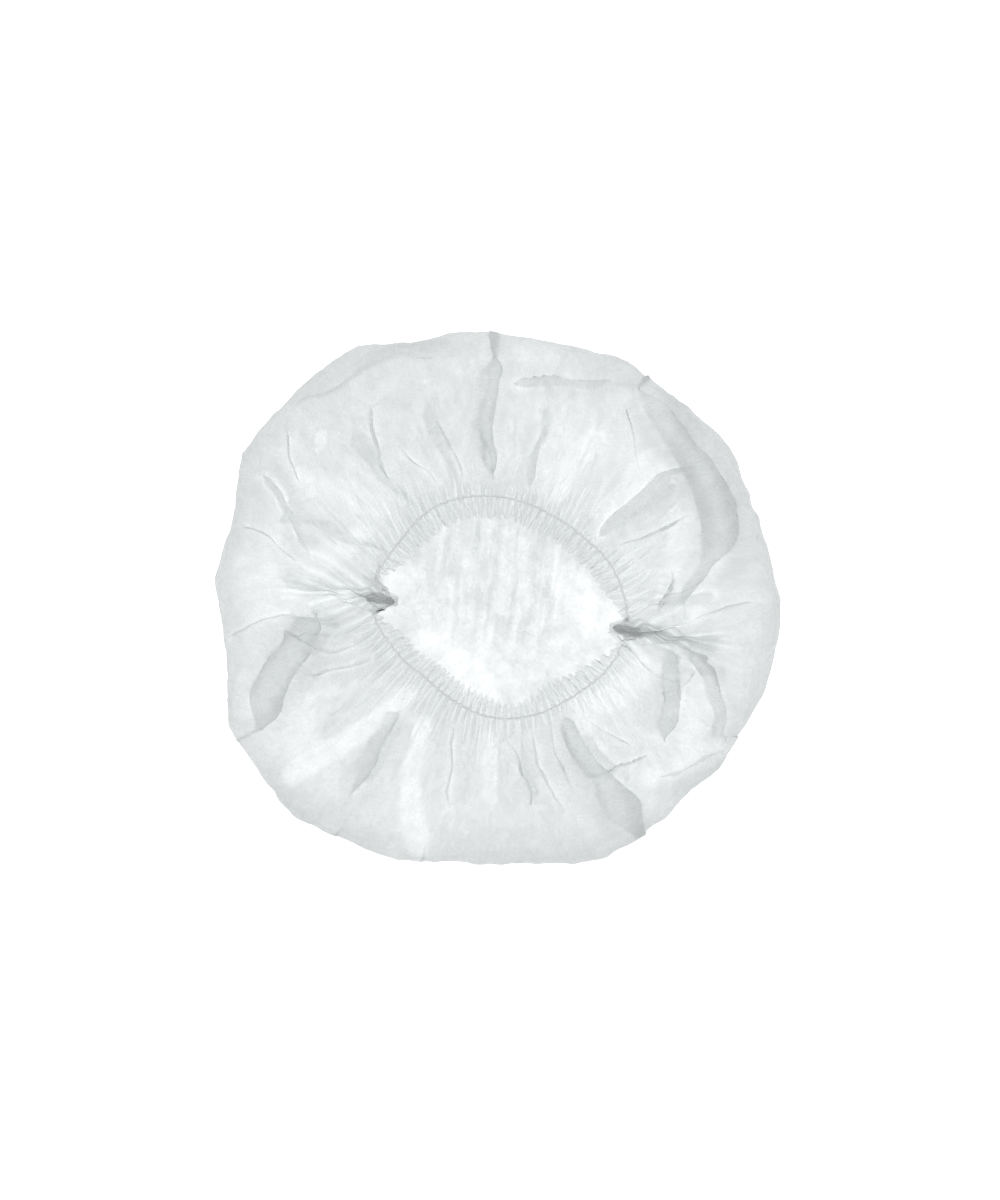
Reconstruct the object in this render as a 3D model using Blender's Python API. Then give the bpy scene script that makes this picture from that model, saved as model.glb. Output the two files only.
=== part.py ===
"""Disposable bouffant cap of the pleated-strip kind, lying crown down with its mouth up.

One sheet of thin nonwoven is gathered onto two elastic threads, one in the front hem and one in the
back hem, and all its pleats are fused together in a weld at each end of the two hems. Opened out, the
sheet makes a puffed ring around a lens-shaped mouth, over a flat crown.

The origin is on the resting plane, under the middle of the line that joins the two end welds.
+X runs along that line, +Y to the back hem, +Z up and out of the mouth. Units are metres.
"""

import math

import bpy

MM = 0.001

# Driving dimensions
WALL = 0.8 * MM  # stand-in thickness of the gathered sheet, which is really 0.1 mm thick
GAP = 0.3 * MM  # clearance between neighbouring pieces
RIM_HEIGHT = 24 * MM  # height of the widest line of the puffed rim
SHEET_AT_HEM = 45 * MM  # height at which the sheet meets the hems
HEM_HEIGHT = 44 * MM  # height of the elastic threads
RUFFLE_WIDTH = 9.5 * MM  # from the sheet's gathered line to the ruffled edge of a hem
RUFFLE_AT_WELD = 0.5  # share of that width left where a hem meets the welds
RUFFLE_TAPER = 28 * MM  # distance from the weld line over which it grows to its full width
RUFFLE_THICKNESS = 1.0 * MM
CASING_RADIUS = 1.5 * MM  # the folded casing around a thread
CHANNEL_RADIUS = 0.95 * MM
THREAD_RADIUS = 0.6 * MM
WELD_HALF_WIDTH = 3.7 * MM
WELD_HALF_HEIGHT = 2.4 * MM
WELD_SPANS = {"left_end_weld": (-93 * MM, -56 * MM), "right_end_weld": (62 * MM, 106 * MM)}
WELD_CLEARANCE = 1.3 * MM  # from a weld's flank to a hem or a gathered panel
PANEL_CLEARANCE = 0.4 * MM  # from the weld line to a panel, beyond the welds

# Outlines seen from above: (degrees from +X towards +Y, millimetres from the origin)
RIM_CORNERS = (
    (-180, 152), (-165, 145), (-150, 155), (-128, 153), (-106, 142), (-88, 133), (-62, 141),
    (-46, 141), (-36, 137), (-28, 143), (-8, 148), (8, 151), (21, 147), (42, 152), (56, 148),
    (70, 151), (86, 147), (102, 151), (115, 151), (126, 161), (140, 160), (155, 161), (167, 149),
)
MOUTH_KNOTS = (
    (-180, 67), (-158, 57), (-135, 50), (-112, 49.5), (-88, 53), (-65, 55), (-35, 58), (-16, 64),
    (0, 67.5), (25, 64), (45, 60), (70, 58), (97, 60.5), (125, 64), (152, 63), (166, 65),
)
CORNER_ROUNDING = 2.0  # degrees to each side over which the rim's corners are rounded

# Profiles: the crown's (millimetres in from the rim, height), and the gathered panels'
# (share of the way from the rim to the mouth, height)
CROWN_PROFILE = ((0, 24), (0, 21), (1.5, 15), (4.5, 9), (9.5, 4.2), (16, 1.2), (24, 0))
FLAT_RINGS = (0.66, 0.33)  # of the radius where the crown turns flat
PANEL_PROFILE = (
    (0, 24), (0, 27), (0.02, 34), (0.07, 41), (0.15, 47), (0.28, 52),
    (0.45, 54.5), (0.62, 53.5), (0.78, 50.5), (0.91, 47), (1, 45),
)

RIM_STATIONS = 72
PANEL_STATIONS = 40
HEM_STATIONS = 36
THREAD_SIDES = 12
CASING_POINTS = 16
WELD_RINGS = 9
WELD_SIDES = 14

# The gathered panels' side towards the two halves of the cap: the front has negative y
HALVES = {"front": -1, "back": 1}

FABRIC_WHITE = (0.90, 0.92, 0.92, 1.0)
HEM_WHITE = (0.86, 0.88, 0.88, 1.0)
FUSED_GREY = (0.78, 0.79, 0.79, 1.0)
THREAD_WHITE = (0.93, 0.93, 0.91, 1.0)


def clear_scene():
    for obj in list(bpy.data.objects):
        bpy.data.objects.remove(obj, do_unlink=True)


def material(name, colour, roughness):
    made = bpy.data.materials.new(name)
    made.use_nodes = True
    shader = made.node_tree.nodes["Principled BSDF"]
    shader.inputs["Base Color"].default_value = colour
    shader.inputs["Roughness"].default_value = roughness
    shader.inputs["Metallic"].default_value = 0.0
    return made


def neighbours(outline, degrees):
    """The outline's points before and after an angle, each as (degrees, radius), without a wrap."""
    degrees = (degrees + 180) % 360 - 180
    closed = list(outline) + [(outline[0][0] + 360, outline[0][1])]
    for before, after in zip(closed, closed[1:]):
        if before[0] <= degrees <= after[0]:
            return degrees, before, after
    raise ValueError(f"the outline doesn't reach {degrees} degrees")


def facet_radius(degrees):
    """Radius of the rim's polygon: the straight chord between two corners."""
    degrees, (a0, r0), (a1, r1) = neighbours(RIM_CORNERS, degrees)
    whole, first = math.radians(a1 - a0), math.radians(degrees - a0)
    return MM * r0 * r1 * math.sin(whole) / (r0 * math.sin(first) + r1 * math.sin(whole - first))


def rim_radius(degrees):
    """The rim's polygon with its corners rounded."""
    turns = (-CORNER_ROUNDING, 0, CORNER_ROUNDING)
    return sum(facet_radius(degrees + turn) for turn in turns) / len(turns)


def mouth_radius(degrees):
    """A smooth closed curve through the mouth's knots, where the sheet is gathered."""
    knots = len(MOUTH_KNOTS)
    degrees, before, after = neighbours(MOUTH_KNOTS, degrees)
    i = MOUTH_KNOTS.index(before)

    def knot(k):
        return MOUTH_KNOTS[k % knots][0] + 360 * (k // knots), MOUTH_KNOTS[k % knots][1]

    (a0, r0), (a1, r1), (a2, r2), (a3, r3) = (knot(i + k) for k in (-1, 0, 1, 2))
    t, span = (degrees - a1) / (a2 - a1), a2 - a1
    slope_1, slope_2 = (r2 - r0) / (a2 - a0) * span, (r3 - r1) / (a3 - a1) * span
    radius = (
        (2 * t**3 - 3 * t**2 + 1) * r1
        + (t**3 - 2 * t**2 + t) * slope_1
        + (3 * t**2 - 2 * t**3) * r2
        + (t**3 - t**2) * slope_2
    )
    return MM * radius


def polar(degrees, radius, height):
    turn = math.radians(degrees)
    return radius * math.cos(turn), radius * math.sin(turn), height


def half_sweep(side, share, radius, clearance):
    """Angle of one half's station: it starts and ends a clearance away from the weld line."""
    edge = math.degrees(math.asin(clearance / radius))
    return side * (edge + share * (180 - 2 * edge))


def new_object(name, points, faces, finish):
    mesh = bpy.data.meshes.new(name)
    mesh.from_pydata(points, [], faces)
    mesh.validate()
    mesh.shade_smooth()
    mesh.set_sharp_from_angle(angle=math.radians(40))
    mesh.materials.append(finish)
    obj = bpy.data.objects.new(name, mesh)
    bpy.context.scene.collection.objects.link(obj)
    return obj


def grid_faces(rows, columns, closed):
    """Quads of a grid whose points run row by row. A closed grid joins its last column to its first."""
    last = columns if closed else columns - 1
    return [
        (r * columns + c, r * columns + (c + 1) % columns,
         (r + 1) * columns + (c + 1) % columns, (r + 1) * columns + c)
        for r in range(rows - 1)
        for c in range(last)
    ]


def thicken(obj):
    """Turns a surface that faces out into a closed shell, with its wall inside it."""
    solidify = obj.modifiers.new("wall", "SOLIDIFY")
    solidify.thickness = WALL
    solidify.offset = -1
    solidify.use_rim = True
    return obj


def crown(finish):
    """The lower half of the puff: a flat disc that turns up to the rim."""
    angles = [360 * k / RIM_STATIONS - 180 for k in range(RIM_STATIONS)]
    rings = []
    for inset, height in CROWN_PROFILE:
        top = GAP / 2 if height * MM == RIM_HEIGHT else 0
        rings.append([polar(a, rim_radius(a) - inset * MM, height * MM - top) for a in angles])
    flat_inset = CROWN_PROFILE[-1][0] * MM
    for share in FLAT_RINGS:
        rings.append([polar(a, (rim_radius(a) - flat_inset) * share, 0) for a in angles])
    points = [p for ring in rings for p in ring] + [(0, 0, 0)]
    faces = grid_faces(len(rings), RIM_STATIONS, closed=True)
    last, centre = (len(rings) - 1) * RIM_STATIONS, len(points) - 1
    faces += [(last + k, last + (k + 1) % RIM_STATIONS, centre) for k in range(RIM_STATIONS)]
    return thicken(new_object("crown", points, [face[::-1] for face in faces], finish))


def panel_clearance(radius):
    """The panels leave room for the welds, and nearly meet beyond them."""
    weld_end = max(abs(x) for span in WELD_SPANS.values() for x in span)
    beside_weld = WELD_HALF_WIDTH + WELD_CLEARANCE
    share = min(1, max(0, (radius - weld_end) / (6 * MM)))
    return beside_weld + (PANEL_CLEARANCE - beside_weld) * share


def gathered_panel(half, finish):
    """Half of the puff's upper side, from the rim over its crest and down to the hem."""
    side = HALVES[half]
    points = []
    for share, height in PANEL_PROFILE:
        lift = GAP / 2 if height * MM == RIM_HEIGHT else 0
        for k in range(PANEL_STATIONS + 1):
            along = k / PANEL_STATIONS
            middle = side * 180 * along
            rim, mouth = rim_radius(middle), mouth_radius(middle) + GAP
            radius = rim + (mouth - rim) * share
            angle = half_sweep(side, along, radius, panel_clearance(radius))
            points.append(polar(angle, radius, height * MM + lift))
    faces = grid_faces(len(PANEL_PROFILE), PANEL_STATIONS + 1, closed=False)
    if side < 0:
        faces = [face[::-1] for face in faces]
    return thicken(new_object(f"{half}_gathers", points, faces, finish))


def thread_radius_at(degrees):
    """Distance of a thread's centre from the origin: a casing's radius in from the gathered line."""
    return mouth_radius(degrees) - CASING_RADIUS


def ruffle_width(y):
    grown = min(1, abs(y) / RUFFLE_TAPER)
    return RUFFLE_WIDTH * (RUFFLE_AT_WELD + (1 - RUFFLE_AT_WELD) * math.sin(grown * math.pi / 2))


def casing_section(width):
    """The casing's outline as (in from the gathered line, above the thread), from the ruffle's top
    round the thread and back under the ruffle."""
    half = RUFFLE_THICKNESS / 2
    start = math.asin(half / CASING_RADIUS)
    bulge_points = CASING_POINTS - 4
    bulge = []
    for k in range(bulge_points):
        turn = start + (2 * math.pi - 2 * start) * k / (bulge_points - 1)
        bulge.append((CASING_RADIUS + CASING_RADIUS * math.cos(turn), CASING_RADIUS * math.sin(turn)))
    bend = CASING_RADIUS * (1 + math.cos(start))
    middle = (bend + width) / 2
    return [(width, half), (middle, half), *bulge, (middle, -half), (width, -half)]


def channel_section():
    """The thread's channel, with as many points as the casing and starting on the same side."""
    step = 2 * math.pi / CASING_POINTS
    return [
        (CASING_RADIUS + CHANNEL_RADIUS * math.cos(step * (k + 0.5)),
         CHANNEL_RADIUS * math.sin(step * (k + 0.5)))
        for k in range(CASING_POINTS)
    ]


def hem_angle(side, along):
    clearance = WELD_HALF_WIDTH + WELD_CLEARANCE
    return half_sweep(side, along, thread_radius_at(0), clearance)


def hem(half, finish):
    """A folded hem: the casing around the thread and the ruffled band inside it, open at both ends."""
    side = HALVES[half]
    outer, inner = [], []
    for k in range(HEM_STATIONS + 1):
        angle = hem_angle(side, k / HEM_STATIONS)
        mouth = mouth_radius(angle)
        width = ruffle_width(mouth * math.sin(math.radians(angle)))
        for loop, section in ((outer, casing_section(width)), (inner, channel_section())):
            loop += [polar(angle, mouth - inward, HEM_HEIGHT + up) for inward, up in section]
    rows, count = HEM_STATIONS + 1, len(outer)
    faces = grid_faces(rows, CASING_POINTS, closed=True)
    faces += [tuple(count + i for i in face[::-1]) for face in grid_faces(rows, CASING_POINTS, closed=True)]
    for row, flip in ((0, False), (rows - 1, True)):
        for k in range(CASING_POINTS):
            a, b = row * CASING_POINTS + k, row * CASING_POINTS + (k + 1) % CASING_POINTS
            end = (a, count + a, count + b, b)
            faces.append(end[::-1] if flip else end)
    if side < 0:
        faces = [face[::-1] for face in faces]
    return new_object(f"{half}_hem", outer + inner, faces, finish)


def thread(half, finish):
    """An elastic thread in its casing, reaching out of both ends to the welds' flanks."""
    side = HALVES[half]
    curve = bpy.data.curves.new(f"{half}_elastic", "CURVE")
    curve.dimensions = "3D"
    curve.bevel_depth = THREAD_RADIUS
    curve.bevel_resolution = 2
    curve.use_fill_caps = True
    spline = curve.splines.new("POLY")
    spline.points.add(HEM_STATIONS)
    reach = WELD_HALF_WIDTH + GAP + THREAD_RADIUS
    for k in range(HEM_STATIONS + 1):
        angle = half_sweep(side, k / HEM_STATIONS, thread_radius_at(0), reach)
        spline.points[k].co = (*polar(angle, thread_radius_at(angle), HEM_HEIGHT), 1)
    curve.materials.append(finish)
    obj = bpy.data.objects.new(f"{half}_elastic", curve)
    bpy.context.scene.collection.objects.link(obj)
    return obj


def end_weld(name, finish):
    """The fused bunch of pleats at one end of the hems: a flattened spindle along the weld line."""
    low, high = WELD_SPANS[name]
    points = []
    for ring in range(WELD_RINGS):
        share = ring / (WELD_RINGS - 1)
        swell = 0.35 + 0.65 * math.sin(math.pi * share)
        for k in range(WELD_SIDES):
            turn = 2 * math.pi * k / WELD_SIDES
            y = WELD_HALF_WIDTH * swell * math.cos(turn)
            z = WELD_HALF_HEIGHT * swell * math.sin(turn)
            points.append((low + (high - low) * share, y, HEM_HEIGHT + z))
    faces = grid_faces(WELD_RINGS, WELD_SIDES, closed=True)
    last = (WELD_RINGS - 1) * WELD_SIDES
    faces.append(tuple(reversed(range(WELD_SIDES))))
    faces.append(tuple(range(last, last + WELD_SIDES)))
    return new_object(name, points, faces, finish)


def main():
    clear_scene()
    fabric = material("nonwoven_fabric", FABRIC_WHITE, 0.85)
    folded = material("folded_hem_fabric", HEM_WHITE, 0.85)
    fused = material("fused_fabric", FUSED_GREY, 0.6)
    elastic = material("elastic_thread", THREAD_WHITE, 0.6)
    crown(fabric)
    for half in HALVES:
        gathered_panel(half, fabric)
        hem(half, folded)
        thread(half, elastic)
    for name in WELD_SPANS:
        end_weld(name, fused)


main()
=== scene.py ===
"""The looks of a disposable bouffant cap: one gathered nonwoven sheet, its elastic threads and welds.

The sheet is a grid of rings and columns. The rings run from the middle of the crown, out along the
floor, up round the rim, over the top and in to the mouth. The columns run across them. Its smooth
course comes from the CAD model's outlines, the large folds are laid in as listed, and a cloth
relaxation then buckles the spare cloth into gathers and wrinkles.
"""

import math

import bpy
import numpy as np
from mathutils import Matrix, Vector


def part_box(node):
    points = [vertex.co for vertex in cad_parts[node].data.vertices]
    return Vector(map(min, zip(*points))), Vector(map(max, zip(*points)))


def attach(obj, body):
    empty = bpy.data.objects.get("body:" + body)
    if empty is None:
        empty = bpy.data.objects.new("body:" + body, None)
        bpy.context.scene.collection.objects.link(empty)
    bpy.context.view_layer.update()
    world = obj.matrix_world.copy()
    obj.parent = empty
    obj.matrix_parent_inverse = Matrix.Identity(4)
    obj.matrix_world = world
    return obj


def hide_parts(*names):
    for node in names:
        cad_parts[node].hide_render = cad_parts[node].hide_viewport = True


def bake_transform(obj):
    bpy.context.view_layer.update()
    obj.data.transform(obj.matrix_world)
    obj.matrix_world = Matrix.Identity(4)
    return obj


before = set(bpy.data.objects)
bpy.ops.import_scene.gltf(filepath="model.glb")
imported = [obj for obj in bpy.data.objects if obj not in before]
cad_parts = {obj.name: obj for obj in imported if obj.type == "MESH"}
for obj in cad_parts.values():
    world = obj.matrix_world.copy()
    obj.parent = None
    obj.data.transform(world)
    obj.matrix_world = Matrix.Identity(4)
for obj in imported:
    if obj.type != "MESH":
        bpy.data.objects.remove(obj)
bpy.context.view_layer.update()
RNG = np.random.default_rng(21)
MM = 0.001

# The sheet's grid. The columns start on +X and run towards +Y.
HEM_COLUMNS = 400
HALF_WELD = 40
COLUMNS = 2 * (HEM_COLUMNS + 2 * HALF_WELD)
WELD_FAN = 25.0  # degrees of the rim, to each side of an end weld, whose cloth runs into that weld
WELD_GAP = 4.6  # degrees at the mouth between the weld line and a hem's first column
CROWN_RINGS = 80
SIDE_RINGS = 16
TOP_RINGS = 76
RUFFLE_RINGS = 11
STATIONS = 72

# The sheet's course, in mm. Under the rim: (in from the rim, height). Over it: (share of the way
# from the rim to the mouth, height).
UNDER_COURSE = ((30, 0.6), (22, 0.8), (15, 2.2), (9, 5.0), (4.2, 9.8), (1.2, 16.5), (0, 24.0))
OVER_COURSE = (
    (0, 24), (0.004, 30), (0.028, 37.5), (0.08, 43.8), (0.17, 48.5), (0.3, 52),
    (0.46, 53.5), (0.62, 52.8), (0.78, 50.3), (0.91, 47.2), (1, 45),
)
HEM_HEIGHT = OVER_COURSE[-1][1]
TOP_WIDTH = 90  # mm from the rim to the mouth, about
ROPE_JOINS = 0.85  # how far along its bunch a weld's last column joins it
ROPE_HALF_WIDTHS = (7.0 * MM, 2.6 * MM)  # where a bunch starts, and at its mouth end
ROPE_HALF_HEIGHTS = (3.0 * MM, 1.8 * MM)
ROPE_PLEATS = 7
HEM_FOLLOWS = 0.06  # share of a hem's columns that bow towards the bunch beside them
ROPE_MEANDER = 1.3 * MM
ROPE_MEANDERS = (2.2, 1.5, 5)  # turns along the bunch and across it, and how they lean
FOLLOW_ENDS = 0.1  # share of the way in before the mouth over which a hem's columns straighten
WELD_DIP = (0.55, 0.3, 30)  # of the top near the weld line: share of its rise, share of the way in, degrees

# Large folds of the top, seen from above: points in mm, half width at both ends, and overlap as a
# share of the half width. Over 0.32 the cloth lies in three layers along the fold's middle.
FOLDS = (
    (((-19, 136), (-18, 114), (-16, 92), (-10, 60)), (7, 9), 0.95),
    (((-14, 119), (10, 124), (30, 127), (56, 131)), (7, 7), 0.8),
    (((48, 120), (61, 97), (70, 78)), (5, 5), 0.42),
    (((-128, 86), (-104, 106), (-80, 121), (-50, 131), (-26, 137)), (9, 9), 0.5),
    (((54, 130), (74, 112), (91, 94), (103, 76), (110, 56), (106, 38), (98, 22), (88, 4)), (12, 21), 1.0),
    (((42, 44), (57, 60), (72, 76), (88, 94)), (7, 12), 0.9),
    (((82, 12), (84, 24), (84, 36)), (4, 4), 0.9),
    (((84, 4), (108, 13), (126, 20), (144, 22)), (4, 7), 0.45),
    (((90, -3), (95, -22), (97, -42), (92, -62)), (7, 11), 1.0),
    (((104, -6), (104, -26), (101, -46)), (4, 4), 0.7),
    (((98, -2), (112, -16), (121, -36), (128, -58)), (6, 9), 1.0),
    (((134, -52), (112, -66), (88, -80)), (8, 7), 0.6),
    (((38, -46), (54, -68), (72, -89), (90, -110)), (6, 15), 0.95),
    (((58, -73), (76, -70), (90, -60)), (6, 5), 0.5),
    (((50, -48), (66, -54), (82, -60)), (4, 4), 0.42),
    (((-92, -8), (-104, -30), (-112, -52), (-126, -80)), (12, 20), 1.0),
    (((-72, -24), (-88, -31), (-108, -28)), (4, 5), 0.6),
    (((-62, -28), (-80, -38), (-100, -50)), (4, 6), 0.6),
    (((-42, -52), (-56, -82), (-70, -116)), (7, 18), 0.45),
    (((-140, -30), (-118, -18), (-92, -6)), (6, 4), 0.5),
    (((-18, -58), (-15, -84), (-10, -112)), (4, 8), 0.55),
    (((24, -56), (34, -80), (50, -104)), (4, 9), 0.5),
    (((-134, 62), (-116, 38), (-98, 14)), (9, 5), 0.8),
    (((-142, 30), (-120, 22), (-98, 10)), (6, 4), 0.45),
    (((-84, 104), (-74, 80), (-60, 58)), (10, 5), 0.5),
    (((-60, 82), (-48, 70), (-38, 60)), (5, 4), 0.55),
    (((-44, 96), (-34, 78), (-26, 62)), (6, 4), 0.5),
    (((10, 104), (10, 84), (8, 62)), (8, 7), 0.6),
    (((-122, 84), (-118, 66), (-112, 50)), (6, 5), 0.42),
)
FOLD_WARP = ((67, 1.6), (29, 0.6))  # wave length and size, in mm, of the folds' uneven edges
# Folds that cross the rim, in the top and the crown alike: direction in degrees, half width in mm,
# overlap, and how far in they run as a share of the radius
RIM_FOLDS = (
    (-50, 25, 0.5, 0.3), (98, 8, 0.8, 0.2), (-147, 17, 0.4, 0.3), (65, 14, 0.42, 0.25),
    (-20, 9, 0.45, 0.2), (-119, 8, 0.45, 0.15), (-100, 6, 0.45, 0.15),
)
RIM_FOLD_PARTS = (0.03, 0.25)  # how near the rim its layers part sideways, not up, and by what share
# Folds of the crown, which lie under the top and show through it, in the same form.
CROWN_FOLDS = (
    (((-120, 92), (-90, 112), (-56, 124), (-28, 130)), (18, 19), 1.0),
    (((60, 138), (88, 112), (106, 80), (110, 46)), (17, 20), 1.1),
    (((93, -3), (97, -30), (94, -62)), (10, 12), 1.0),
    (((50, -58), (64, -76), (78, -92)), (13, 16), 0.9),
    (((-86, -5), (-104, -32), (-120, -70)), (14, 20), 1.1),
    (((-46, -58), (-58, -86), (-72, -112)), (10, 13), 1.0),
    (((-136, 66), (-118, 40), (-98, 14)), (14, 10), 0.95),
)
# Crown folds that run straight out: direction in degrees, half width in mm
CROWN_RAYS = ((12, 12), (-72, 13), (178, 11), (160, 13), (136, 14), (116, 13), (84, 12), (44, 12))
CROWN_RAY_REACH = (68, 102, 136)  # their points' distances from the middle, in mm
CROWN_RAY_OVERLAP = 0.9
CROWN_RAY_TAPER = 0.05  # a ray's half width at its inner end, as a share of the outer
# All folds: how far their layers part, in half widths, over what share of their length they grow and
# fade, how far their zone reaches, in half widths, and how fast it grows at their ends
FOLD_LIFT = 0.13
FOLD_ENDS = (0.14, 0.3)
FOLD_ZONE = (1.6, 4)
FOLD_STEPS = 6  # to each stretch between two of a fold's points
TOP_EDGES = (0.06, 0.12)  # share of the way in over which folds fade at the rim and at the mouth
CROWN_FOLDS_EDGE = 0.06  # the same at the crown's edge
DRAPED_FROM = 0.12  # share of the way in from which folded cloth lies on the top's smooth height

# Pleats between the large folds, out from the gathers: how many, and, from least to most, the share of
# the way in where they start and end, half width in mm at both ends, and overlap.
PLEATS = 40
PLEAT_START = (0.84, 0.93)
PLEAT_END = (0.12, 0.55)
PLEAT_HALF_WIDTHS = ((3.2, 5.0), (5, 12))
PLEAT_OVERLAP = (0.35, 0.75)
PLEAT_SWAY = (5, 3)  # degrees by which they slant and bow
PLEATS_OFF_WELDS = 16  # degrees
PLEATS_OFF_FOLDS = 0.25  # share of both their half widths
# Cloth that the pleats leave clear: middle and radius in mm.
CLEAR_PATCHES = (
    ((25, 88), 14), ((62, 84), 12), ((92, 52), 10), ((-76, -82), 12), ((-32, -96), 9),
    ((110, -42), 12), ((66, -36), 12), ((-38, -84), 9), ((-86, 26), 9), ((-128, -60), 9),
    ((-86, 46), 10), ((7, -84), 8), ((-68, -52), 7),
)
# How thick the cloth looks, and painted shade of its creases: points in mm, half width at both ends, and the
# change, below 0 for smooth, thin cloth and above for finely creased cloth, which is painted darker as the
# shade in its creases.
DENSITIES_AND_SHADES = (
    (((-42, -48), (-68, -74), (-98, -96)), (4.5, 5.5), -1.8),
    (((-34, -64), (-33, -95), (-28, -126)), (4.5, 6), -1.3),
    (((111, -20), (112, -38), (110, -54)), (4, 8), -0.7),
    (((116, -58), (92, -76)), (4, 5), -0.8),
    (((86, -16), (66, -34), (50, -44)), (6, 7), -1.0),
    (((54, -56), (64, -70)), (6, 5), -0.8),
    (((48, 57), (60, 68), (70, 88)), (5, 8), -1.0),
    (((26, 66), (29, 82), (40, 100)), (4, 6), -1.4),
    (((18, 72), (18, 100)), (6, 9), -0.6),
    (((91, 34), (92, 60)), (5, 7), -0.9),
    (((-98, 16), (-78, 34)), (8, 5), -1.0),
    (((-128, -50), (-129, -68)), (6, 5), -0.9),
    (((-94, -60), (-94, -88)), (7, 9), -0.7),
    (((-130, 4), (-116, -10)), (12, 12), -0.4),
    (((-112, 56), (-70, 50)), (7, 7), -0.5),
    (((-6, 138), (10, 138)), (6, 6), -0.6),
    (((4, -64), (6, -96)), (5, 5), -0.7),
    (((104, 12), (112, 26)), (3, 4), -1.0),
    (((-100, 92), (-62, 108), (-34, 112)), (26, 26), 0.3),
    (((52, 130), (80, 108), (104, 72), (110, 44)), (16, 16), 0.4),
    (((70, -94), (84, -112)), (14, 20), 0.3),
    (((-96, -116), (-60, -124)), (12, 12), 0.4),
    (((-6, -124), (56, -116)), (12, 12), 0.3),
    (((-104, -32), (-118, -64)), (14, 16), 0.4),
    (((-136, 70), (-140, 30)), (14, 14), 0.3),
    (((104, 74), (112, 54), (102, 28)), (8, 9), 0.5),
    (((-48, -66), (-62, -100)), (7, 12), 0.6),
    (((-60, -50), (-76, -66), (-80, -76)), (4, 5), 0.4),
    (((68, 1), (114, -2)), (4, 4), 1.0),
    (((100, -1), (118, -16)), (3, 5), 1.0),
    (((-112, -2), (-78, 0)), (6, 5), -1.0),
    (((8, 98), (10, 66)), (5, 6), 0.5),
    (((-20, 140), (-19.5, 110), (-17, 84), (-11, 66)), (5, 5), 0.5),
    (((-128, 62), (-114, 40), (-100, 14)), (5, 5), 0.5),
    (((-116, 96), (-98, 112), (-76, 126), (-46, 136)), (4, 5), 0.6),
    (((84, 112), (90, 88)), (6, 8), 0.7),
    (((2, 121), (30, 126), (54, 129)), (3.5, 3), 0.8),
    (((-100, -16), (-64, -22)), (9, 6), 0.5),
    (((-98, -42), (-60, -34)), (6, 6), 0.5),
    (((-24, -78), (44, -80)), (22, 22), 0.3),
    (((-34, -20), (-4, -38)), (9, 10), -0.8),
    (((30, 26), (58, 2)), (9, 7), -0.8),
    (((-58, 4), (-50, 14)), (5, 5), -0.5),
    (((-30, 20), (20, 22)), (16, 18), 0.35),
    (((42, -52), (56, -74)), (4, 5), 0.6),
)
DENSITY_AND_SHADE_SOFTNESS = 0.9  # over how many half widths a change fades out
DENSITY_AND_SHADE_SPAN = (-1.6, 1)
# A three-layered fold gets painted shade along its edges and is painted lighter along its middle: where and
# how broadly, in half widths, and how much.
FOLD_EDGE_SHADE = (0.58, 0.5, 0.75)
FOLD_MIDDLE_LIGHT = (0.0, 0.5, -1.7)
THREE_LAYERS = (0.3, 0.8)  # from none to all of that, by the fold's overlap
FOLDS_THINNER = 0.25  # the cloth is drawn smooth where it folds over, and where it runs to the hem
GATHERS_THINNER = 0.15
GATHERS_REACH = (0.66, 0.91)  # share of the way in

# Soft waves of the crown: (length in mm, height in mm, bend, shift)
CROWN_WAVES = ((7, 0.3, 1.2, 0.4), (11.7, 0.7, 1.6, 1.9), (18, 1.1, 1.1, 3.3), (31, 1.6, 0.9, 5.1))
CROWN_CALM = (-19, 12, 0.15)  # the waves fade out in front of here, over this far, in mm, to this share
CROWN_EDGE = 0.15  # share of the crown's radius over which they end at its edge

# Broad puffs of the top: height in mm, and how many round the cap (fewest, most)
PUFFS = (2.6, 5, 17)
PUFFS_SWELL = 1.15  # half waves of their height from the rim to the mouth
# Crumpling of the whole sheet, by wave length in mm: height in mm
CRUMPLE = ((8, 0.10), (11, 0.16), (15, 0.24), (22, 0.36), (33, 0.5))
CRUMPLE_WAVES = 5  # directions for each wave length
CRUMPLE_BEND = (45, 1.4)  # how closely and how far the ripples bend
CRUMPLE_MEAN = 0.64  # of a ripple's height, so that it moves the sheet both ways
CRUMPLED_RINGS = ((-8, 1.2), (0, 0.9), (20, 1.0), (30, 1.2), (70, 1.0), (84, 0.0))  # factor, by ring
CRUMPLED_WELDS = 0.4

# The cloth. Its length along a ring over that of the smooth course, by share of the way in.
SPARE_CLOTH = (
    (-1, 1.0), (0, 1.015), (0.5, 1.06), (0.72, 1.16), (0.85, 1.42),
    (0.93, 1.7), (1, 1.8), (1.3, 1.6), (2, 1.65),
)
GATHERS = 38  # along one hem
SCALLOP = 0.08  # share of the ruffle's width
RUFFLE_DRIFTS = ((60, 0.8, 1.2), (24, 0.5, 0.06))  # of its scallops' phase, and of its width
RUFFLE_AT_WELDS = 3 * MM
RUFFLE_DROP = 0.6 * MM
# The ruffle's width over that of its CAD solid, by direction in degrees
RUFFLE_WIDTHS = (
    (-176, 0.1), (-160, 0.85), (-110, 1.0), (-77, 0.55), (-48, 1.0), (-20, 0.85), (-4, 0.1), (4, 0.1),
    (20, 0.85), (60, 1.0), (105, 1.1), (160, 0.85), (176, 0.1),
)
# Waves for the spare cloth to start from, each half as many as the one before:
# (share of the way in, reach, height in mm)
SEED_WAVES = (
    (0.99, 0.04, 0.5), (0.92, 0.06, 0.8), (0.8, 0.1, 1.2), (0.62, 0.16, 1.8), (0.4, 0.25, 2.2),
)
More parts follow.
